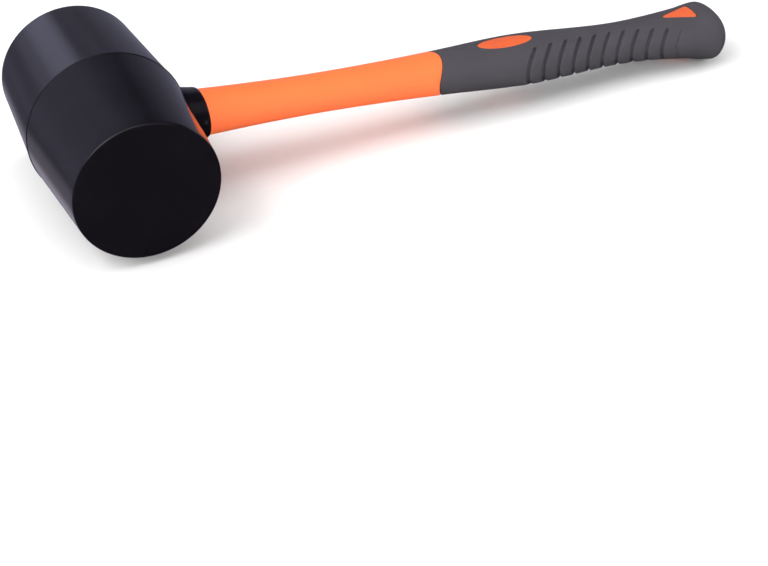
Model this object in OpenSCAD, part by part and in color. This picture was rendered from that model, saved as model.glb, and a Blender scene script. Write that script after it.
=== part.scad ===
// Rubber mallet: a one-piece rubber head bonded to a handle that has a fibreglass core,
// a hard plastic jacket and a soft grip moulded over it. The mallet lies on its side, as on
// a bench, with the head's waist and the butt's rim on the ground. All sizes are in millimetres.
// Each piece is drawn in the tool's own axes: x runs along the handle from the head's axis,
// y along the head, and z across both. One placing step at the end lays the tool down.

/* [Head] */
// Length from one striking face to the other
head_length = 124; // [100:1:150]
// Diameter of a striking face
face_d = 70; // [60:1:74]
// Diameter at the parting line, where the head is widest
waist_d = 78; // [76:1:90]
// Radius of the rounded edge round a striking face
face_edge_r = 1.2; // [0.6:0.1:4]
// Height of the moulded rib on the parting line
parting_rib_h = 0.3; // [0.1:0.1:0.8]
// Width of that rib
parting_rib_w = 0.9; // [0.4:0.1:2]
// Depth of the blind socket past the head's axis
socket_past_axis = 26; // [18:1:30]

/* [Collar] */
// Distance from the head's axis to the collar's mouth
collar_reach = 46.5; // [43:0.5:55]
// Rubber wall at the collar's lip
collar_wall = 1.0; // [0.8:0.1:3]
// Extra wall at the collar's root, where it meets the head
collar_flare = 0.9; // [0.2:0.1:3]
// Length of the rounded part of the lip
lip_length = 3; // [1.5:0.5:5]

/* [Bond] */
// Thickness of adhesive between the socket and the tang
bond_gap = 0.25; // [0.15:0.05:0.6]
// Depth of the mouth that the adhesive leaves unfilled
bond_recess = 0.8; // [0.4:0.1:2]

/* [Tang] */
// Number of ring grooves that lock the tang in the adhesive
tang_rings = 3; // [2:1:5]
// Width of a ring groove
tang_ring_w = 6; // [3:0.5:7]
// Depth of a ring groove
tang_ring_depth = 1.2; // [0.5:0.1:2]

/* [Core] */
// Diameter of the fibreglass rod
core_d = 11; // [8:0.5:12]
// Plastic left beyond the rod at the butt
core_cover = 4; // [2:0.5:8]

/* [Handle] */
// Width of the handle along the head over its thickness
handle_aspect = 1.4; // [1.2:0.05:1.5]
// Length of bare jacket from the collar's mouth to the grip
neck_length = 126; // [100:1:160]
// Thickness at the collar's mouth
mouth_t = 20.6; // [20:0.1:21.5]
// Thickness a little way along the neck
throat_t = 18.9; // [18:0.1:20]
// Thickness of the neck where it is thinnest
neck_t = 17.8; // [16:0.1:18.5]
// Thickness of the neck on its way to the grip
shank_t = 18.5; // [17:0.1:19.5]

/* [Grip] */
// Length of the grip from its front edge to the end of the butt
grip_length = 167; // [140:1:190]
// Thickness at the grip's front edge
front_t = 20.5; // [19.5:0.1:22]
// Thickness at the swell under the palm
palm_t = 23.9; // [22:0.1:26]
// Thickness of the hollow before the butt
hollow_t = 20.3; // [19:0.1:22]
// Thickness part way up the flare of the butt
flare_t = 25.0; // [23:0.1:26.5]
// Thickness at the rim of the butt
rim_t = 28.2; // [26:0.1:32]
// Thickness of the grip over the jacket
grip_wall = 2.6; // [1.8:0.1:3.2]
// Radius, seen from above, of the jacket's round nose at the grip's front edge
nose_r = 22; // [19:0.5:40]

/* [Finger grooves] */
// Number of grooves
groove_count = 11; // [4:1:12]
// Distance between grooves along the handle
groove_pitch = 8.85; // [7:0.05:9.2]
// Width of a groove
groove_w = 1.7; // [1:0.1:3]
// Depth of a groove
groove_depth = 1.2; // [0.5:0.1:1.4]
// Distance from the grip's front edge to the first groove, at the finger edge
groove_start = 43; // [38:0.5:46]
// How far the longest groove runs in from the finger edge, seen from above
groove_run = 10.2; // [5:0.1:11]
// Slant of the grooves, seen from above, in degrees
groove_slant = 42; // [20:1:50]

/* [Inlays] */
// Length of a thumb inlay
thumb_length = 30.5; // [20:0.5:36]
// Width of a thumb inlay
thumb_width = 10.8; // [6:0.1:14]
// Distance from the grip's front edge to the middle of a thumb inlay
thumb_place = 37; // [30:0.5:38]
// Length of an inlay near the butt
drop_length = 16.6; // [10:0.1:18]
// Width of that inlay at its wide end
drop_width = 12.4; // [8:0.1:14]
// Radius of its corners
drop_corner_r = 1.3; // [0.6:0.1:2.5]
// Distance from its wide end to the end of the butt
drop_from_end = 20; // [18:0.5:26]

/* [Hidden] */
$fn = 180;
// Length by which a cut runs past what it cuts
overrun = 1;
// Steps of the handle's outline from one station to the next
span_steps = 4;
// Steps on a rounded edge and on the domed butt
arc_steps = 6;
dome_steps = 8;
// How full the dome is: 1 is a cone and 2 is an ellipse
dome_power = 1.4;
// Places of the neck's stations, as shares of its length
throat_share = 0.19;
neck_share = 0.43;
shank_share = 0.74;
// Places of the grip's stations, as shares of its length
palm_share = 0.235;
hollow_share = 0.69;
flare_share = 0.858;
rim_share = 0.93;
// Place of the groove that runs in furthest, as a share of the row
groove_peak_share = 0.37;
// Distance from there at which a groove would vanish, as a share of the row
groove_vanish_share = 0.87;

mouth_x = collar_reach;
grip_x = mouth_x + neck_length;
tip_x = grip_x + grip_length;
rim_x = grip_x + grip_length * rim_share;
nose_x = grip_x - nose_r;

waist_r = waist_d / 2;
head_r = waist_r + parting_rib_h;
socket_x = -socket_past_axis;
tang_x = socket_x + bond_gap;
tang_half = mouth_t / 2;
socket_half = tang_half + bond_gap;
lip_half = socket_half + collar_wall;
root_half = lip_half + collar_flare;
tang_length = mouth_x - bond_recess - tang_x;
ring_pitch = tang_length / (tang_rings + 1);

core_end = rim_x - core_cover;

// Half-width of the widest section, and a length that spans any section
rim_half_w = handle_aspect * rim_t / 2;
across = 2 * rim_half_w + 2 * overrun;

// The thickness curve of the handle: [distance from the head's axis, half thickness]
stations = [
    [mouth_x, mouth_t / 2],
    [mouth_x + neck_length * throat_share, throat_t / 2],
    [mouth_x + neck_length * neck_share, neck_t / 2],
    [mouth_x + neck_length * shank_share, shank_t / 2],
    [grip_x, front_t / 2],
    [grip_x + grip_length * palm_share, palm_t / 2],
    [grip_x + grip_length * hollow_share, hollow_t / 2],
    [grip_x + grip_length * flare_share, flare_t / 2],
    [rim_x, rim_t / 2]
];
last_station = len(stations) - 1;

// The tool lies with its head and its butt on the ground
lie_angle = asin((head_r - rim_t / 2) / rim_x);
middle_x = (tip_x * cos(lie_angle) - head_r) / 2;

// Smooth curve through the stations
function gap(i) = stations[i + 1][0] - stations[i][0];
function rise(i) = (stations[i + 1][1] - stations[i][1]) / gap(i);
function slope(i) =
    i == 0 ? rise(0)
    : i == last_station ? 0
    : (rise(i - 1) * gap(i) + rise(i) * gap(i - 1)) / (gap(i - 1) + gap(i));
function span_of(x, i = 0) =
    i == last_station - 1 || x <= stations[i + 1][0] ? i : span_of(x, i + 1);
function half_thickness(x) =
    let (
        i = span_of(x),
        t = (x - stations[i][0]) / gap(i),
        a = stations[i][1],
        b = stations[i + 1][1]
    )
    a + (b - a) * t * t * (3 - 2 * t)
    + gap(i) * t * (1 - t) * (slope(i) * (1 - t) - slope(i + 1) * t);

// Places along the handle at which its outline has a point
outline_xs = [
    for (i = [0 : last_station - 1])
        for (k = [0 : span_steps - 1])
            stations[i][0] + gap(i) * k / span_steps
];

// Outline of one side of the handle between two places, drawn in by inset
function side_outline(from, to, inset) =
    let (xs = concat([from], [for (x = outline_xs) if (x > from && x < to) x], [to]))
    [for (x = xs) [half_thickness(x) - inset, x]];

// Outline of the domed butt, after the rim
function dome_outline() =
    [for (k = [1 : dome_steps])
        let (u = sin(90 * k / dome_steps))
        [
            rim_t / 2 * pow(1 - pow(u, dome_power), 1 / dome_power),
            rim_x + (tip_x - rim_x) * u
        ]];

// Quarter of an ellipse from the side of a round part to its end
function rounded_edge(r, x, drop, length) =
    [for (k = [0 : arc_steps])
        let (a = 90 * k / arc_steps)
        [r - drop * (1 - cos(a)), x - length * (1 - sin(a))]];

// Turns an outline of [radius, x] about the handle's axis and widens it along y,
// in one turn or in two halves that meet on the handle's middle plane
module turned(outline, turns = 1) {
    for (k = [1 : turns])
        scale([1, handle_aspect, 1])
            rotate([0, 90, 0])
                rotate_extrude(angle = 360 / turns, start = 90 + 360 * k / turns)
                    polygon(outline);
}

// A length of the handle, drawn in by inset, with flat ends
module handle_length(from, to, inset = 0, turns = 1) {
    turned(concat([[0, from]], side_outline(from, to, inset), [[0, to]]), turns);
}

// Upright prism over an outline seen from above
module seen_from_above(height = across) {
    linear_extrude(height = height, center = true)
        children();
}

// Lays the tool on the ground
module lying() {
    translate([-middle_x, 0, head_r])
        rotate([0, lie_angle, 0])
            children();
}

// The part of the handle under the grip, which ends at the rim of the butt
module spigot(turns = 1) {
    handle_length(nose_x - overrun, rim_x, grip_wall, turns);
}

// The jacket's round nose, which the grip's front edge follows
module nose() {
    translate([nose_x, 0])
        circle(r = nose_r);
}

module thumb_outline() {
    translate([grip_x + thumb_place, 0])
        scale([thumb_length / thumb_width, 1])
            circle(d = thumb_width);
}

// Points round one corner of the drop between two directions
function drop_corner(centre, from, to) =
    [for (k = [0 : arc_steps])
        let (a = from + (to - from) * k / arc_steps)
        centre + drop_corner_r * [cos(a), sin(a)]];

// A drop that points to the head, with a round tip and two round corners
module drop_outline() {
    wide_x = tip_x - drop_from_end - drop_corner_r;
    tip_centre_x = tip_x - drop_from_end - drop_length + drop_corner_r;
    wide_y = drop_width / 2 - drop_corner_r;
    flank = 90 + atan2(wide_y, wide_x - tip_centre_x);
    polygon(concat(
        drop_corner([wide_x, wide_y], 0, flank),
        drop_corner([tip_centre_x, 0], flank, 360 - flank),
        drop_corner([wide_x, -wide_y], 360 - flank, 360)
    ));
}

module windows() {
    seen_from_above() {
        thumb_outline();
        drop_outline();
    }
}

// How far a groove runs in: the ends of the row are shorter
function groove_reach(i) =
    groove_run * (1 - pow((i / (groove_count - 1) - groove_peak_share) / groove_vanish_share, 2));

// One groove seen from above: a slanted slot with a round end
module groove_outline(i) {
    edge_x = grip_x + groove_start + i * groove_pitch;
    edge_y = -handle_aspect * half_thickness(edge_x);
    inner = groove_reach(i) / cos(groove_slant) - groove_w / 2;
    outer = handle_aspect * grip_wall;
    translate([edge_x, edge_y])
        rotate(90 - groove_slant) {
            translate([-outer, -groove_w / 2])
                square([outer + inner, groove_w]);
            translate([inner, 0])
                circle(d = groove_w);
        }
}

module grooves() {
    difference() {
        seen_from_above()
            for (i = [0 : groove_count - 1])
                groove_outline(i);
        handle_length(grip_x, rim_x, groove_depth);
    }
}

// Profile of the head's upper half, from one face to the other: [radius, place along the head]
function head_outline() =
    let (
        half = head_length / 2,
        face_r = face_d / 2,
        edge = rounded_edge(face_r, half, face_edge_r, face_edge_r),
        rib = [
            [waist_r, parting_rib_w / 2],
            [head_r, 0],
            [waist_r, -parting_rib_w / 2]
        ]
    )
    concat(
        [[0, -half]],
        [for (i = [arc_steps : -1 : 0]) [edge[i][0], -edge[i][1]]],
        [for (i = [2 : -1 : 0]) rib[i]],
        edge,
        [[0, half]]
    );

// Boss round the handle where it leaves the head
module collar() {
    turned(concat(
        [[0, 0], [root_half, 0], [root_half, waist_r - face_edge_r]],
        rounded_edge(lip_half, mouth_x, collar_wall, lip_length),
        [[0, mouth_x]]
    ));
}

module rubber_head() {
    color("#1b1b20")
        lying()
            difference() {
                union() {
                    rotate([90, 0, 0])
                        rotate_extrude()
                            polygon(head_outline());
                    collar();
                }
                turned([
                    [0, socket_x],
                    [socket_half, socket_x],
                    [socket_half, mouth_x + overrun],
                    [0, mouth_x + overrun]
                ]);
            }
}

// Outline of the tang, with its ring grooves
function tang_outline() =
    concat(
        [[0, tang_x], [tang_half, tang_x]],
        [for (i = [1 : tang_rings])
            let (middle = tang_x + i * ring_pitch)
            each [
                [tang_half, middle - tang_ring_w / 2],
                [tang_half - tang_ring_depth, middle - tang_ring_w / 2],
                [tang_half - tang_ring_depth, middle + tang_ring_w / 2],
                [tang_half, middle + tang_ring_w / 2]
            ]]
    );

module bond_sleeve() {
    fill_x = mouth_x - bond_recess;
    color("#c9b27a")
        lying()
            difference() {
                turned([
                    [0, socket_x],
                    [socket_half, socket_x],
                    [socket_half, fill_x],
                    [0, fill_x]
                ]);
                turned(concat(tang_outline(), [[tang_half, mouth_x], [0, mouth_x]]));
            }
}

// The rod's round form, from a given x to its end in the butt
module core_form(from) {
    translate([from, 0, 0])
        rotate([0, 90, 0])
            cylinder(d = core_d, h = core_end - from);
}

// The rod ends flush with the tang
module core_rod() {
    color("#e6dfc4")
        lying()
            core_form(tang_x);
}

// The tang and neck end in the round nose, and the spigot goes on under the grip
module handle_jacket() {
    color("#ff7a33")
        lying()
            difference() {
                union() {
                    difference() {
                        turned(concat(
                            tang_outline(),
                            side_outline(mouth_x, grip_x, 0),
                            [[0, grip_x]]
                        ), 2);
                        seen_from_above()
                            difference() {
                                translate([nose_x, -across / 2])
                                    square([nose_r + overrun, across]);
                                nose();
                            }
                    }
                    spigot(2);
                }
                core_form(tang_x - overrun);
            }
}

module grip_sleeve() {
    color("#504f53")
        lying()
            difference() {
                turned(concat([[0, nose_x]], side_outline(nose_x, rim_x, 0), dome_outline()), 2);
                seen_from_above()
                    nose();
                spigot();
                windows();
                grooves();
            }
}

// A flush pad on the spigot, on the upper cheek for side 1 and on the lower for side -1
module inlay(from, to, side) {
    color("#f2641f")
        lying()
            difference() {
                intersection() {
                    handle_length(from, to);
                    translate([0, 0, side * across / 4])
                        seen_from_above(across / 2)
                            children();
                }
                spigot();
            }
}

module thumb_inlay(side) {
    reach = thumb_length / 2 + overrun;
    inlay(grip_x + thumb_place - reach, grip_x + thumb_place + reach, side)
        thumb_outline();
}

module butt_inlay(side) {
    wide_x = tip_x - drop_from_end;
    inlay(wide_x - drop_length - overrun, wide_x + overrun, side)
        drop_outline();
}

rubber_head();
bond_sleeve();
core_rod();
handle_jacket();
grip_sleeve();
thumb_inlay(1);  // thumb_inlay_upper
thumb_inlay(-1);  // thumb_inlay_lower
butt_inlay(1);  // butt_inlay_upper
butt_inlay(-1);  // butt_inlay_lower
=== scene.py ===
"""Looks of the rubber mallet: finished meshes and materials round its solids, in a plain studio."""

import math

import bmesh
import bpy
from mathutils import Matrix, Vector


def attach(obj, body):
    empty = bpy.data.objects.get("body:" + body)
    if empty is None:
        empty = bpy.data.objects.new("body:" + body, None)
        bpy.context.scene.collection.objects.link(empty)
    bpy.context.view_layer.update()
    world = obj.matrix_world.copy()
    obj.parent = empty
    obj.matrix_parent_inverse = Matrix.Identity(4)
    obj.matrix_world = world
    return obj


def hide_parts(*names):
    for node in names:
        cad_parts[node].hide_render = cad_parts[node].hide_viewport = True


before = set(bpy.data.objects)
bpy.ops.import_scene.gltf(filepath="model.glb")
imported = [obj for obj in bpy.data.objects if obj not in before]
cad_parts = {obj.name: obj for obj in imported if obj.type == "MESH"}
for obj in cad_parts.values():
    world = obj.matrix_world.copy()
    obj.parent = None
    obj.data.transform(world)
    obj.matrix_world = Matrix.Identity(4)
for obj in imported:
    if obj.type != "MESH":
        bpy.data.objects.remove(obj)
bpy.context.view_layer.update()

# Sizes in millimetres, in the tool's own axes: x along the handle from the head's axis, y along
# the head, and z across both
HEAD_LENGTH = 124.0
FACE_R = 35.0
WAIST_R = 39.0
FACE_EDGE_R = 1.2
PARTING_RIB_H = 0.3
PARTING_RIB_W = 0.9
SOCKET_PAST_AXIS = 26.0
# How far the tool that cuts the socket sticks out of its mouth
SOCKET_CLEAR = 1.0
HEAD_SIDES = 256

MOUTH_X = 46.5
COLLAR_WALL = 1.0
COLLAR_FLARE = 0.9
# Where the collar starts inside the head, and where it begins to narrow
COLLAR_ROOT_X = 20.0
COLLAR_CONE_X = 37.8
# Length of the collar's lip, and the share of its wall that is rounded off there
LIP_LENGTH = 3.0
LIP_ROUND_SHARE = 0.85
BOND_GAP = 0.25
BOND_RECESS = 0.8

TANG_RINGS = 3
TANG_RING_W = 6.0
TANG_RING_DEPTH = 1.2
CORE_R = 5.5
CORE_COVER = 4.0

HANDLE_ASPECT = 1.4
NECK_LENGTH = 126.0
GRIP_LENGTH = 167.0
GRIP_WALL = 2.6
NOSE_R = 22.0
DOME_POWER = 1.4
# Thickness of the handle at shares of the neck's and of the grip's length
NECK_SHARES = ((0.0, 20.6), (0.19, 18.9), (0.43, 17.8), (0.74, 18.5))
GRIP_SHARES = ((0.0, 20.5), (0.235, 23.9), (0.69, 20.3), (0.858, 25.0), (0.93, 28.2))

# Rounding of the nose's edge, of the grip's front edge, and the parting between them
NOSE_EDGE_LENGTH = 2.0
NOSE_EDGE_DROP = 0.45
GRIP_EDGE_R = 0.45
SEAM_GAP = 0.12
# Hairline gaps under the grip and under the inlays
SPIGOT_GAP = 0.03
SEAT_GAP = 0.02

GROOVE_COUNT = 11
GROOVE_PITCH = 8.85
GROOVE_HALF_W = 0.95
GROOVE_FLOOR_HALF_W = 0.4
GROOVE_DEPTH = 1.2
LAST_GROOVE_DEPTH = 0.4
GROOVE_START = 43.0
GROOVE_RUN = 10.2
GROOVE_SLANT = math.radians(42)
GROOVE_PEAK_SHARE = 0.37
GROOVE_VANISH_SHARE = 0.87
# The ribs swell from before the first groove to the last one, in grooves, and up to a distance
# from the grooves' inner ends
RIB_SWELL = 0.2
SWELL_LEAD = 1.1
SWELL_RISE = 0.8
SWELL_TRAIL = 0.2
SWELL_SINK = 1.6
SWELL_INSET = 3.5
SWELL_FADE = 4.0
# The grip's rings take up the grooves' slant over one stretch and give it up over another; from
# a depth behind the finger edge they straighten
LEAN_START_X = 178.0
LEAN_START_RUN = 34.0
LEAN_END_X = 300.0
LEAN_END_RUN = 27.0
LEAN_DEPTH = 12.0
LEAN_EASE = 3.0
# Length over which the grip's rings stop following the nose
NOSE_FADE = 30.0
# Sideways set of the butt towards the finger edge, where it starts, and how it grows
HOOK = 1.3
HOOK_X = 285.0
HOOK_POWER = 1.5

THUMB_LENGTH = 30.5
THUMB_WIDTH = 10.8
THUMB_PLACE = 37.0
DROP_LENGTH = 16.6
DROP_WIDTH = 12.4
DROP_CORNER_R = 1.3
DROP_FROM_END = 20.0
# Spacing of the points on the drop's outline, and their number on the thumb inlay's
DROP_STEP = 0.5
THUMB_SIDES = 128
INLAY_GAP = 0.12
INLAY_EDGE_R = 0.4
# Heights between which the inlays' windows are cut out of the grip
WINDOW_HEIGHTS = (3.0, 25.0)

GRIP_X = MOUTH_X + NECK_LENGTH
TIP_X = GRIP_X + GRIP_LENGTH
NOSE_X = GRIP_X - NOSE_R
STATIONS = [(MOUTH_X + NECK_LENGTH * share, thickness / 2) for share, thickness in NECK_SHARES]
STATIONS += [(GRIP_X + GRIP_LENGTH * share, thickness / 2) for share, thickness in GRIP_SHARES]
TANG_HALF = STATIONS[0][1]
RIM_X, RIM_HALF = STATIONS[-1]
SOCKET_HALF = TANG_HALF + BOND_GAP
SOCKET_X = -SOCKET_PAST_AXIS
TANG_X = SOCKET_X + BOND_GAP
CORE_END = RIM_X - CORE_COVER
THUMB_X = GRIP_X + THUMB_PLACE
DROP_END_X = TIP_X - DROP_FROM_END
GROOVE_X = GRIP_X + GROOVE_START
# Points round a section of the handle, and rounds in which a place that depends on the thickness
# there settles
SIDES = 224
SETTLE_ROUNDS = 6
# Edges that bend by more than this stay sharp
SHARP_ANGLE = math.radians(38)

HEAD_R = WAIST_R + PARTING_RIB_H
LIE_ANGLE = math.asin((HEAD_R - RIM_HALF) / RIM_X)
MIDDLE_X = (TIP_X * math.cos(LIE_ANGLE) - HEAD_R) / 2
PLACING = (
    Matrix.Scale(0.001, 4)
    @ Matrix.Translation((-MIDDLE_X, 0, HEAD_R))
    @ Matrix.Rotation(LIE_ANGLE, 4, "Y")
)


def smooth(t):
    """Eases from 0 to 1 as t goes from 0 to 1."""
    t = min(max(t, 0.0), 1.0)
    return t * t * (3 - 2 * t)


def slopes():
    """Slope of the thickness curve at each station."""
    gaps = [b[0] - a[0] for a, b in zip(STATIONS, STATIONS[1:])]
    rises = [(b[1] - a[1]) / g for a, b, g in zip(STATIONS, STATIONS[1:], gaps)]
    inner = [
        (rises[i - 1] * gaps[i] + rises[i] * gaps[i - 1]) / (gaps[i - 1] + gaps[i])
        for i in range(1, len(gaps))
    ]
    return [rises[0], *inner, 0.0]


SLOPES = slopes()


def half_thickness(x):
    """Half thickness of the handle at x, up to the rim of the butt."""
    i = 0
    while i < len(STATIONS) - 2 and x > STATIONS[i + 1][0]:
        i += 1
    (x0, a), (x1, b) = STATIONS[i], STATIONS[i + 1]
    gap = x1 - x0
    t = (x - x0) / gap
    bend = SLOPES[i] * (1 - t) - SLOPES[i + 1] * t
    return a + (b - a) * smooth(t) + gap * t * (1 - t) * bend


def hook(x):
    """Sideways shift of the butt towards the finger edge."""
    return -HOOK * (max(x - HOOK_X, 0) / (RIM_X - HOOK_X)) ** HOOK_POWER


def oval_point(x, half, turn, out=0.0):
    """Point on the oval section at x; turn is 0 at the finger edge, and out is square to the oval."""
    y = -HANDLE_ASPECT * half * math.cos(turn)
    z = half * math.sin(turn)
    normal = Vector((y / HANDLE_ASPECT ** 2, z)).normalized() * out
    return (x, y + normal[0] + hook(x), z + normal[1])


def turns(sides=SIDES):
    return [2 * math.pi * k / sides for k in range(sides)]


def oval_ring(x, half):
    return [oval_point(x, half, turn) for turn in turns()]


def round_ring(x, radius):
    return [(x, -radius * math.cos(turn), radius * math.sin(turn)) for turn in turns()]


def nose_edge(turn):
    """Place along the handle of the edge between the jacket's round nose and the grip."""
    x = GRIP_X
    for _ in range(SETTLE_ROUNDS):
        y = HANDLE_ASPECT * half_thickness(x) * math.cos(turn)
        x = NOSE_X + math.sqrt(NOSE_R ** 2 - y ** 2)
    return x


NOSE_EDGES = [nose_edge(turn) for turn in turns()]


def nose_ring(offset, inset):
    """Ring that follows the nose's edge at a distance from it."""
    return [
        oval_point(edge + offset, half_thickness(edge + offset) - inset, turn)
        for edge, turn in zip(NOSE_EDGES, turns())
    ]


def new_object(name, points, faces, material=None, slot=None):
    """Mesh object in the row frame; given a material, it is finished as a piece too."""
    mesh = bpy.data.meshes.new(name)
    mesh.from_pydata([PLACING @ Vector(p) for p in points], [], faces)
    work = bmesh.new()
    work.from_mesh(mesh)
    bmesh.ops.recalc_face_normals(work, faces=work.faces)
    work.to_mesh(mesh)
    work.free()
    piece = bpy.data.objects.new(name, mesh)
    bpy.context.scene.collection.objects.link(piece)
    if material:
        mesh.materials.append(material)
        finish_piece(piece)
    return piece


def finish_piece(piece):
    """Smooths a piece but for its sharp edges and lets it ride on the tool's one body."""
    piece.data.shade_smooth()
    piece.data.set_sharp_from_angle(angle=SHARP_ANGLE)
    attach(piece, "root")


def skin(rings, first=None, last=None):
    """Points and faces of a closed skin through equal rings; first and last are its end points."""
    count = len(rings[0])
    points = [p for ring in rings for p in ring]
    faces = []
    for r in range(len(rings) - 1):
        for k in range(count):
            a, b = r * count + k, r * count + (k + 1) % count
            faces.append((a, b, b + count, a + count))
    for end, start in ((first, 0), (last, (len(rings) - 1) * count)):
        if end is None:
            end = [sum(p[i] for p in points[start : start + count]) / count for i in range(3)]
        points.append(end)
        faces += [(start + k, start + (k + 1) % count, len(points) - 1) for k in range(count)]
    return points, faces


def cut(piece, cutters, operation="DIFFERENCE"):
    """Applies solid cuts or unions to a piece's mesh and removes the cutting objects."""
    for cutter in cutters:
        modifier = piece.modifiers.new("cut", "BOOLEAN")
        modifier.operation = operation
        modifier.solver = "EXACT"
        modifier.object = cutter
    shape = piece.evaluated_get(bpy.context.evaluated_depsgraph_get())
    mesh = bpy.data.meshes.new_from_object(shape)
    piece.modifiers.clear()
    old = piece.data
    mesh.name = piece.name
    piece.data = mesh
    bpy.data.meshes.remove(old)
    for cutter in cutters:
        bpy.data.meshes.remove(cutter.data)


# Materials

# Noise values between which colours and numbers spread
NOISE_SPAN = (0.3, 0.7)


def link(tree, source, target):
    tree.links.new(source, target)


def node(tree, kind, **values):
    """Adds a node; values name its inputs or its own settings."""
    made = tree.nodes.new(kind)
    for name, value in values.items():
        label = name.replace("_", " ").title()
        if label in made.inputs:
            made.inputs[label].default_value = value
        else:
            setattr(made, name, value)
    return made


def noise(tree, place, scale, detail=3.0, roughness=0.55, stretch=(1, 1, 1)):
    """Fractal noise over the piece's own coordinates in metres."""
    mapping = node(tree, "ShaderNodeMapping")
    mapping.inputs["Scale"].default_value = stretch
    link(tree, place, mapping.inputs["Vector"])
    made = node(tree, "ShaderNodeTexNoise", scale=scale, detail=detail, roughness=roughness)
    link(tree, mapping.outputs["Vector"], made.inputs["Vector"])
    return made.outputs["Fac"]


def spread(tree, value, low, high, start=NOISE_SPAN[0], end=NOISE_SPAN[1]):
    """Maps a value from one range to another."""
    made = node(tree, "ShaderNodeMapRange")
    for name, number in (("From Min", start), ("From Max", end), ("To Min", low), ("To Max", high)):
        made.inputs[name].default_value = number
    link(tree, value, made.inputs["Value"])
    return made.outputs["Result"]


def paint(tree, shader, value, low, high):
    """Spreads a noise value over a range of base colours."""
    made = node(tree, "ShaderNodeValToRGB")
    for element, position, colour in zip(made.color_ramp.elements, NOISE_SPAN, (low, high)):
        element.position = position
        element.color = (*colour, 1)
    link(tree, value, made.inputs["Fac"])
    link(tree, made.outputs["Color"], shader.inputs["Base Color"])


def roughen(tree, shader, value, low, high):
    """Spreads a noise value over a range of roughness."""
    link(tree, spread(tree, value, low, high), shader.inputs["Roughness"])


def bumps(tree, shader, layers):
    """Chains bump layers of (height, distance in metres, strength) into the shader's normal."""
    previous = None
    for height, distance, strength in layers:
        made = node(tree, "ShaderNodeBump", strength=strength, distance=distance)
        link(tree, height, made.inputs["Height"])
        if previous:
            link(tree, previous, made.inputs["Normal"])
        previous = made.outputs["Normal"]
    link(tree, previous, shader.inputs["Normal"])


def new_material(name, specular):
    """Principled material, its node tree, its shader and the piece's own coordinates."""
    material = bpy.data.materials.new(name)
    material.use_nodes = True
    tree = material.node_tree
    shader = tree.nodes["Principled BSDF"]
    shader.inputs["Specular IOR Level"].default_value = specular
    place = node(tree, "ShaderNodeTexCoord").outputs["Object"]
    return material, tree, shader, place


def head_rubber():
    """Black rubber with a satin skin, faint flow streaks along the head and a fine mould grain."""
    material, tree, shader, place = new_material("head_rubber", 0.5)
    streaks = noise(tree, place, 60.0, 4.0, 0.6, (1, 0.12, 1))
    cloud = noise(tree, place, 35.0)
    grain = noise(tree, place, 900.0, 2.0)
    paint(tree, shader, cloud, (0.0048, 0.0040, 0.0060), (0.0060, 0.0050, 0.0074))
    roughen(tree, shader, streaks, 0.09, 0.12)
    bumps(tree, shader, [(streaks, 0.0001, 0.1), (grain, 0.000008, 0.06)])
    return material


def jacket_plastic():
    """Smooth orange plastic with a semi-gloss skin and faint sinks and flow."""
    material, tree, shader, place = new_material("jacket_plastic", 0.3)
    cloud = noise(tree, place, 30.0, 2.0)
    peel = noise(tree, place, 420.0, 2.0)
    flow = noise(tree, place, 90.0, 3.0, 0.5, (0.15, 1, 1))
    paint(tree, shader, cloud, (0.97, 0.155, 0.040), (0.99, 0.163, 0.042))
    roughen(tree, shader, flow, 0.38, 0.48)
    bumps(tree, shader, [(flow, 0.0001, 0.15), (peel, 0.00003, 0.2)])
    return material


def inlay_plastic():
    """Deeper orange plastic of the inlays, with a fine satin grain."""
    material, tree, shader, place = new_material("inlay_plastic", 0.35)
    cloud = noise(tree, place, 140.0, 2.0)
    grain = noise(tree, place, 1800.0, 2.0)
    paint(tree, shader, cloud, (0.59, 0.097, 0.028), (0.62, 0.103, 0.030))
    roughen(tree, shader, grain, 0.4, 0.5)
    bumps(tree, shader, [(grain, 0.00002, 0.25)])
    return material


def grip_rubber():
    """Dark grey soft-touch rubber with an even matte grain."""
    material, tree, shader, place = new_material("grip_rubber", 0.25)
    cloud = noise(tree, place, 70.0)
    grain = noise(tree, place, 2200.0, 3.0)
    paint(tree, shader, cloud, (0.0498, 0.0456, 0.0543), (0.0558, 0.0510, 0.0608))
    roughen(tree, shader, cloud, 0.62, 0.72)
    bumps(tree, shader, [(cloud, 0.0002, 0.1), (grain, 0.00004, 0.35)])
    return material


def cured_adhesive():
    """Amber adhesive with cloudy patches."""
    material, tree, shader, place = new_material("cured_adhesive", 0.5)
    cloud = noise(tree, place, 300.0)
    paint(tree, shader, cloud, (0.42, 0.3, 0.12), (0.55, 0.42, 0.2))
    roughen(tree, shader, cloud, 0.3, 0.45)
    bumps(tree, shader, [(cloud, 0.0002, 0.3)])
    return material


def glass_fibre():
    """Pale rod with fibres that run along it."""
    material, tree, shader, place = new_material("glass_fibre", 0.5)
    fibres = noise(tree, place, 1200.0, 4.0, 0.6, (0.02, 1, 1))
    paint(tree, shader, fibres, (0.55, 0.52, 0.38), (0.72, 0.7, 0.56))
    roughen(tree, shader, fibres, 0.4, 0.6)
    bumps(tree, shader, [(fibres, 0.0001, 0.3)])
    return material


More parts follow.
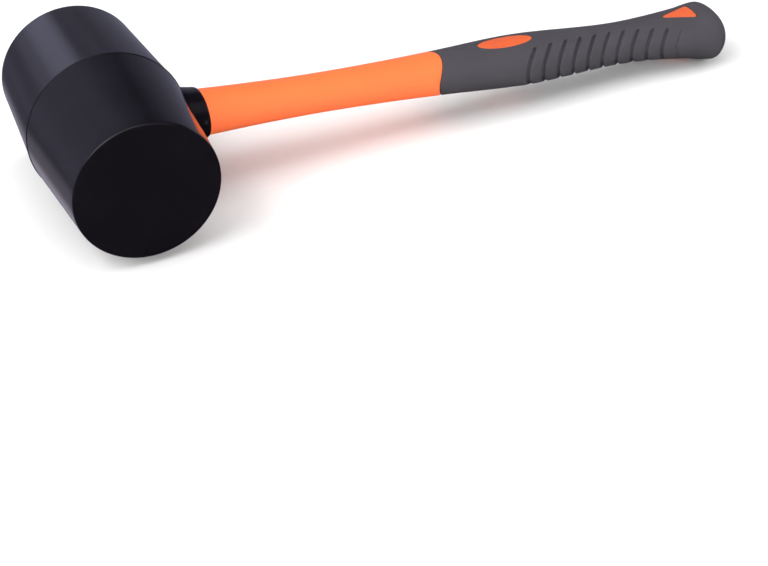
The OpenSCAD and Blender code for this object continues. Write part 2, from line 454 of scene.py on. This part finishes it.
def pale_floor():
    """Plain pale studio floor that glows away from the tool, and less and less up the wall's sweep."""
    material, tree, shader, place = new_material("pale_floor", 0.0)
    cloud = noise(tree, place, 3.0)
    paint(tree, shader, cloud, (0.82, 0.82, 0.82), (0.83, 0.83, 0.83))
    roughen(tree, shader, cloud, 0.85, 0.95)
    away = node(tree, "ShaderNodeVectorMath", operation="LENGTH")
    link(tree, place, away.inputs[0])
    parts = node(tree, "ShaderNodeSeparateXYZ")
    link(tree, place, parts.inputs["Vector"])
    glow = node(tree, "ShaderNodeMath", operation="MULTIPLY")
    link(tree, spread(tree, away.outputs["Value"], 0.0, GLOW, GLOW_START, GLOW_FULL), glow.inputs[0])
    link(tree, spread(tree, parts.outputs["Z"], 1.0, 0.0, 0.0, SWEEP_R), glow.inputs[1])
    link(tree, glow.outputs["Value"], shader.inputs["Emission Strength"])
    return material


# Pieces


def head():
    """Barrel with its parting rib, the collar round the handle and the blind socket."""
    half = HEAD_LENGTH / 2
    rib_half = PARTING_RIB_W / 2
    edge = [
        (FACE_R - FACE_EDGE_R * (1 - math.cos(a)), half - FACE_EDGE_R * (1 - math.sin(a)))
        for a in (math.radians(11.25 * k) for k in range(9))
    ]
    cone_steps = 14
    cone = [
        (WAIST_R + (FACE_R - WAIST_R) * t, rib_half + (half - FACE_EDGE_R - rib_half) * t)
        for t in (k / cone_steps for k in range(cone_steps))
    ]
    rib = [
        (WAIST_R + PARTING_RIB_H * math.cos(a), rib_half * math.sin(a))
        for a in (math.radians(30 * k) for k in range(3))
    ]
    side = rib + cone + edge
    profile = [(r, -y) for r, y in reversed(side[1:])] + side
    around = turns(HEAD_SIDES)
    rings = [[(r * math.cos(a), y, r * math.sin(a)) for a in around] for r, y in profile]
    piece = new_object("head", *skin(rings, (0, -half, 0), (0, half, 0)))

    lip = SOCKET_HALF + COLLAR_WALL
    cone_length = MOUTH_X - LIP_LENGTH - COLLAR_CONE_X
    outline = [(x, lip + COLLAR_FLARE) for x in (COLLAR_ROOT_X, COLLAR_CONE_X)]
    outline += [
        (COLLAR_CONE_X + cone_length * k / 4, lip + COLLAR_FLARE * (1 - k / 4))
        for k in (1, 2, 3)
    ]
    outline += [
        (MOUTH_X - LIP_LENGTH * (1 - math.sin(a)), lip - COLLAR_WALL * LIP_ROUND_SHARE * (1 - math.cos(a)))
        for a in (math.radians(10 * k) for k in range(10))
    ]
    collar = new_object("collar", *skin([oval_ring(x, h) for x, h in outline]))
    bore = [oval_ring(x, SOCKET_HALF) for x in (SOCKET_X, MOUTH_X + SOCKET_CLEAR)]
    socket = new_object("socket", *skin(bore))
    cut(piece, [collar], "UNION")
    cut(piece, [socket])
    piece.data.materials.append(head_rubber())
    finish_piece(piece)
    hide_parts("rubber_head")


def jacket():
    """Tang, neck and nose in one skin, with the spigot under the grip and the bore for the rod."""
    half = TANG_HALF
    rings = [round_ring(CORE_END, CORE_R), round_ring(TANG_X, CORE_R)]
    rings += [oval_ring(TANG_X, half)]
    pitch = (MOUTH_X - BOND_RECESS - TANG_X) / (TANG_RINGS + 1)
    for i in range(1, TANG_RINGS + 1):
        for side in (-1, 1):
            x = TANG_X + i * pitch + side * TANG_RING_W / 2
            depths = (0, TANG_RING_DEPTH) if side < 0 else (TANG_RING_DEPTH, 0)
            rings += [oval_ring(x, half - depth) for depth in depths]
    neck_steps = 64
    for k in range(neck_steps + 1):
        ring = []
        for edge, turn in zip(NOSE_EDGES, turns()):
            x = MOUTH_X + (edge - NOSE_EDGE_LENGTH - MOUTH_X) * k / neck_steps
            ring.append(oval_point(x, half_thickness(x), turn))
        rings.append(ring)
    for k in range(1, 7):
        a = math.radians(15 * k)
        rings.append(nose_ring(NOSE_EDGE_LENGTH * (math.sin(a) - 1), NOSE_EDGE_DROP * (1 - math.cos(a))))
    wall = GRIP_WALL + SPIGOT_GAP
    rings.append(nose_ring(0, wall))
    spigot_steps = 40
    for k in range(1, spigot_steps + 1):
        ring = []
        for edge, turn in zip(NOSE_EDGES, turns()):
            x = edge + (RIM_X - edge) * k / spigot_steps
            ring.append(oval_point(x, half_thickness(x) - wall, turn))
        rings.append(ring)
    piece = new_object("jacket", *skin(rings), jacket_plastic(), "jacket")
    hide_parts("handle_jacket")


def groove_reach(place):
    """How far in from the finger edge the grooves run at a place in their row."""
    share = place / (GROOVE_COUNT - 1)
    return GROOVE_RUN * (1 - ((share - GROOVE_PEAK_SHARE) / GROOVE_VANISH_SHARE) ** 2)


def groove_relief(w, from_edge):
    """Height of the ribs and grooves above the plain grip; a groove is a slot with a round inner end."""
    place = (w - GROOVE_X) / GROOVE_PITCH
    i = min(max(round(place), 0), GROOVE_COUNT - 1)
    away = abs(w - GROOVE_X - i * GROOVE_PITCH) * math.cos(GROOVE_SLANT)
    past = max((from_edge - groove_reach(i)) / math.cos(GROOVE_SLANT) + GROOVE_HALF_W, 0)
    wall = (math.hypot(away, past) - GROOVE_FLOOR_HALF_W) / (GROOVE_HALF_W - GROOVE_FLOOR_HALF_W)
    depth = LAST_GROOVE_DEPTH if i == GROOVE_COUNT - 1 else GROOVE_DEPTH
    slot = depth * (1 - smooth(wall))
    reach = groove_reach(min(max(place, -0.5), GROOVE_COUNT - 0.5))
    rise = smooth((place + SWELL_LEAD) / SWELL_RISE)
    sink = smooth((GROOVE_COUNT - SWELL_TRAIL - place) / SWELL_SINK)
    inner = 1 - smooth((from_edge - reach + SWELL_INSET) / SWELL_FADE)
    return RIB_SWELL * smooth(away / (2 * GROOVE_HALF_W)) * (rise * sink) * inner - slot


def grip_point(w, k, turn):
    """Point of the grip's outside on ring w, which leans with the grooves and follows the nose."""
    start = smooth((w - LEAN_START_X) / LEAN_START_RUN)
    end = smooth((w - LEAN_END_X) / LEAN_END_RUN)
    lean = math.tan(GROOVE_SLANT) * start * (1 - end)
    front = (NOSE_EDGES[k] - GRIP_X) * (1 - smooth((w - GRIP_X) / NOSE_FADE))
    x = w
    for _ in range(SETTLE_ROUNDS):
        from_edge = HANDLE_ASPECT * half_thickness(x) * (1 - math.cos(turn))
        past = max(from_edge - LEAN_DEPTH, 0)
        along = min(from_edge, LEAN_DEPTH) + LEAN_EASE * (1 - math.exp(-past / LEAN_EASE))
        x = min(w + front + lean * along, RIM_X)
    return oval_point(x, half_thickness(x), turn, groove_relief(w, from_edge))


def grip():
    """Soft sleeve with its finger grooves, domed butt and windows for the inlays."""
    rings = []
    inner_steps = 40
    for j in range(inner_steps, -1, -1):
        ring = []
        for edge, turn in zip(NOSE_EDGES, turns()):
            x = edge + SEAM_GAP + (RIM_X - edge - SEAM_GAP) * j / inner_steps
            ring.append(oval_point(x, half_thickness(x) - GRIP_WALL, turn))
        rings.append(ring)
    for k in range(4, -1, -1):
        a = math.radians(22.5 * k)
        offset = SEAM_GAP + GRIP_EDGE_R * (1 - math.sin(a))
        rings.append(nose_ring(offset, GRIP_EDGE_R * (1 - math.cos(a))))
    start = GRIP_X + SEAM_GAP + GRIP_EDGE_R
    first = GROOVE_X - GROOVE_PITCH / 2
    last = GROOVE_X + (GROOVE_COUNT - 0.5) * GROOVE_PITCH
    front_steps, rear_steps = 26, 20
    places = [start + (first - start) * k / front_steps for k in range(1, front_steps)]
    half_pitch = GROOVE_PITCH / 2 * math.cos(GROOVE_SLANT)
    steps = [GROOVE_FLOOR_HALF_W * k / 2 for k in range(2)]
    steps += [GROOVE_FLOOR_HALF_W + (GROOVE_HALF_W - GROOVE_FLOOR_HALF_W) * k / 6 for k in range(6)]
    steps += [GROOVE_HALF_W + (half_pitch - GROOVE_HALF_W) * k / 5 for k in range(6)]
    offsets = [step / math.cos(GROOVE_SLANT) for step in steps]
    for i in range(GROOVE_COUNT):
        middle = GROOVE_X + i * GROOVE_PITCH
        places += [middle - offset for offset in reversed(offsets)]
        places += [middle + offset for offset in offsets[1:-1]]
    places += [last + (RIM_X - last) * k / rear_steps for k in range(rear_steps + 1)]
    rings += [[grip_point(w, k, turn) for k, turn in enumerate(turns())] for w in places]
    for k in range(1, 18):
        u = math.sin(math.radians(5 * k))
        half = RIM_HALF * (1 - u ** DOME_POWER) ** (1 / DOME_POWER)
        rings.append(oval_ring(RIM_X + (TIP_X - RIM_X) * u, half))
    piece = new_object("grip", *skin(rings, None, (TIP_X, hook(TIP_X), 0)))
    windows = []
    for name, outline in (("thumb", thumb_outline()), ("drop", drop_outline())):
        wide = inset_outline(outline, -INLAY_GAP)
        for side in (1, -1):
            rings = [[(x, y, side * z) for x, y in wide] for z in WINDOW_HEIGHTS]
            windows.append(new_object(name + "_window", *skin(rings)))
    cut(piece, windows)
    piece.data.materials.append(grip_rubber())
    finish_piece(piece)
    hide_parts("grip_sleeve")


def thumb_outline():
    return [
        (THUMB_X + THUMB_LENGTH / 2 * math.cos(a), THUMB_WIDTH / 2 * math.sin(a))
        for a in turns(THUMB_SIDES)
    ]


def drop_outline():
    """Drop that points to the head, with rounded corners, set over with the butt."""
    wide_x = DROP_END_X - DROP_CORNER_R
    tip_x = DROP_END_X - DROP_LENGTH + DROP_CORNER_R
    wide_y = DROP_WIDTH / 2 - DROP_CORNER_R
    flank = math.pi / 2 + math.atan2(wide_y, wide_x - tip_x)
    corners = (
        (wide_x, wide_y, 0, flank),
        (tip_x, 0, flank, 2 * math.pi - flank),
        (wide_x, -wide_y, 2 * math.pi - flank, 2 * math.pi),
    )
    points = []
    for x, y, start, end in corners:
        for k in range(13):
            a = start + (end - start) * k / 12
            points.append((x + DROP_CORNER_R * math.cos(a), y + DROP_CORNER_R * math.sin(a)))
    dense = []
    for (x0, y0), (x1, y1) in zip(points, points[1:] + points[:1]):
        steps = max(1, round(math.dist((x0, y0), (x1, y1)) / DROP_STEP))
        dense += [(x0 + (x1 - x0) * k / steps, y0 + (y1 - y0) * k / steps) for k in range(steps)]
    return [(x, y + hook(x)) for x, y in dense]


def inset_outline(outline, distance):
    """Moves a counter-clockwise outline inwards."""
    moved = []
    for i, (x, y) in enumerate(outline):
        x0, y0 = outline[i - 1]
        x1, y1 = outline[(i + 1) % len(outline)]
        length = math.dist((x0, y0), (x1, y1))
        moved.append((x - (y1 - y0) / length * distance, y + (x1 - x0) / length * distance))
    return moved


def cheek(x, y, inset, side):
    """Height of the handle's cheek over a point seen from above."""
    half = half_thickness(x) - inset
    return side * half * math.sqrt(max(1 - ((y - hook(x)) / (HANDLE_ASPECT * half)) ** 2, 0))


def inlay(name, outline, side, material):
    """Flush pad with a softly rounded rim, seated on the spigot."""
    r = INLAY_EDGE_R
    angles = [math.radians(a) for a in (0, 30, 60, 90)]
    rims = [inset_outline(outline, r * (1 - math.cos(a))) for a in angles]
    drops = [r * (1 - math.sin(a)) for a in angles]
    middle = [sum(p[i] for p in outline) / len(outline) for i in (0, 1)]
    rings = [[(x, y, cheek(x, y, GRIP_WALL - SEAT_GAP, side)) for x, y in rims[0]]]
    for rim, drop in zip(rims, drops):
        rings.append([(x, y, cheek(x, y, 0, side) - side * drop) for x, y in rim])
    top_steps = 12
    for k in range(1, top_steps):
        ring = []
        for x, y in rims[-1]:
            u = middle[0] + (x - middle[0]) * (1 - k / top_steps)
            v = middle[1] + (y - middle[1]) * (1 - k / top_steps)
            ring.append((u, v, cheek(u, v, 0, side)))
        rings.append(ring)
    ends = [(*middle, cheek(*middle, depth, side)) for depth in (GRIP_WALL - SEAT_GAP, 0)]
    piece = new_object(name, *skin(rings, *ends), material, "inlay")
    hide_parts(name + "_inlay_" + ("upper" if side > 0 else "lower"))
    piece.name = name + ("_pad_upper" if side > 0 else "_pad_lower")


def inlays():
    material = inlay_plastic()
    for side in (1, -1):
        inlay("thumb", thumb_outline(), side, material)
        inlay("butt", drop_outline(), side, material)


# Studio, in metres

COOL_GREY = (1.0, 1.0, 1.37)
WARM_GREY = (1.1, 1.0, 1.22)
WHITE = (1.0, 1.0, 1.0)

FLOOR_R = 3.0
SWEEP_R = 1.0
WALL_TOP = 3.5
FLOOR_SIDES = 96
# Strength of the floor's glow, and the distances at which it starts and is full
GLOW = 0.9
GLOW_START = 0.9
GLOW_FULL = 2.0

# Point that the lights face, and the camera's place, the direction it looks from, its roll and lens
TOOL_MIDDLE = Vector((0, 0, 0.04))
CAMERA_PLACE = Vector((-0.33172, -0.76377, 0.50106))
CAMERA_BACK = Vector((-0.31496, -0.74841, 0.58368))
CAMERA_ROLL = math.radians(-1.677)
LENS_MM = 89.16
SENSOR_MM = 36.0


def floor():
    """Pale floor that sweeps up into a round wall."""
    profile = [(FLOOR_R, 0.0)]
    for k in range(1, 10):
        a = math.radians(10 * k)
        profile.append((FLOOR_R + SWEEP_R * math.sin(a), SWEEP_R * (1 - math.cos(a))))
    profile.append((FLOOR_R + SWEEP_R, WALL_TOP))
    around = turns(FLOOR_SIDES)
    points = [(r * math.cos(a), r * math.sin(a), z) for r, z in profile for a in around]
    count = len(around)
    faces = [tuple(range(count))]
    for r in range(len(profile) - 1):
        for k in range(count):
            a, b = r * count + k, r * count + (k + 1) % count
            faces.append((a, a + count, b + count, b))
    mesh = bpy.data.meshes.new("floor")
    mesh.from_pydata(points, [], faces)
    mesh.shade_smooth()
    mesh.materials.append(pale_floor())
    piece = bpy.data.objects.new("floor", mesh)
    bpy.context.scene.collection.objects.link(piece)
    piece.visible_glossy = False


def away_from_tool(azimuth, elevation):
    """Direction from the tool; azimuth 0 is the front, 90 the butt's side."""
    a, e = math.radians(azimuth), math.radians(elevation)
    return Vector((math.sin(a) * math.cos(e), -math.cos(a) * math.cos(e), math.sin(e)))


def softbox(name, azimuth, elevation, distance, width, height, radiance):
    """Area light that faces the middle of the tool and stays out of its gloss."""
    away = away_from_tool(azimuth, elevation)
    data = bpy.data.lights.new(name, "AREA")
    data.shape = "RECTANGLE"
    data.size = width
    data.size_y = height
    data.energy = math.pi * width * height * radiance
    light = bpy.data.objects.new(name, data)
    light.location = TOOL_MIDDLE + away * distance
    light.rotation_mode = "QUATERNION"
    light.rotation_quaternion = (-away).to_track_quat("-Z", "Y")
    light.visible_glossy = False
    bpy.context.scene.collection.objects.link(light)


def lights():
    """Large soft boxes at both sides, in front and above."""
    softbox("left", -85, 40, distance=1.7, width=1.9, height=1.5, radiance=3.8)
    softbox("front", 10, 25, distance=1.7, width=1.8, height=0.8, radiance=2.7)
    softbox("right", 95, 30, distance=1.7, width=1.2, height=1.0, radiance=2.3)
    softbox("top", 0, 88, distance=1.6, width=2.4, height=2.0, radiance=1.6)


def surroundings():
    """Dark room whose soft pale panels show only in gloss.

    A panel has a direction, the angles from its middle to the end of its even part and to its rim,
    a strength and a colour.
    """
    panels = (
        (-170, 18, 1, 13, 0.32, COOL_GREY),
        (-166, 16, 1, 20, 0.2, COOL_GREY),
        (178, 31, 1, 23, 0.13, COOL_GREY),
        (161, -7, 1, 44, 0.21, COOL_GREY),
        (-116, 24, 30, 66, 0.27, COOL_GREY),
        (-136, -54, 30, 38, 0.25, WARM_GREY),
        (-178, -38, 6, 18, 0.2, WARM_GREY),
        (-160, -18, 2, 14, 0.08, COOL_GREY),
        (-30, 60, 10, 45, 0.9, WHITE),
        (-75, 45, 10, 30, 1.2, WHITE),
        (20, 8, 4, 18, 0.6, WHITE),
        (100, 8, 6, 22, 1.2, WHITE),
        (90, 50, 5, 25, 0.18, WHITE),
    )
    world = bpy.data.worlds.new("studio")
    world.use_nodes = True
    tree = world.node_tree
    place = node(tree, "ShaderNodeTexCoord").outputs["Generated"]
    total = None
    for azimuth, elevation, even, rim, strength, colour in panels:
        facing = node(tree, "ShaderNodeVectorMath", operation="DOT_PRODUCT")
        link(tree, place, facing.inputs[0])
        facing.inputs[1].default_value = away_from_tool(azimuth, elevation)
        start, end = (math.cos(math.radians(angle)) for angle in (rim, even))
        glow = spread(tree, facing.outputs["Value"], 0, strength, start, end)
        glow.node.interpolation_type = "SMOOTHSTEP"
        panel = node(tree, "ShaderNodeVectorMath", operation="SCALE")
        panel.inputs[0].default_value = colour
        link(tree, glow, panel.inputs["Scale"])
        light = panel.outputs["Vector"]
        if total:
            both = node(tree, "ShaderNodeVectorMath", operation="ADD")
            link(tree, total, both.inputs[0])
            link(tree, light, both.inputs[1])
            light = both.outputs["Vector"]
        total = light
    link(tree, total, tree.nodes["Background"].inputs["Color"])
    world.cycles_visibility.diffuse = False
    bpy.context.scene.world = world


def camera():
    """Camera in front of the head, looking down on the tool."""
    data = bpy.data.cameras.new("camera")
    data.lens = LENS_MM
    data.sensor_width = SENSOR_MM
    data.clip_start = 0.01
    eye = bpy.data.objects.new("camera", data)
    eye.location = CAMERA_PLACE
    eye.rotation_mode = "QUATERNION"
    roll = Matrix.Rotation(CAMERA_ROLL, 3, "Z").to_quaternion()
    eye.rotation_quaternion = (-CAMERA_BACK).to_track_quat("-Z", "Y") @ roll
    bpy.context.scene.collection.objects.link(eye)
    bpy.context.scene.camera = eye


def hidden_pieces():
    """The rod and the adhesive keep their solids."""
    for name, material in (("core_rod", glass_fibre()), ("bond_sleeve", cured_adhesive())):
        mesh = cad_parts[name].data
        mesh.materials.clear()
        mesh.materials.append(material)


head()
jacket()
grip()
inlays()
hidden_pieces()
floor()
lights()
surroundings()
camera()
bpy.context.scene.view_settings.view_transform = "Standard"
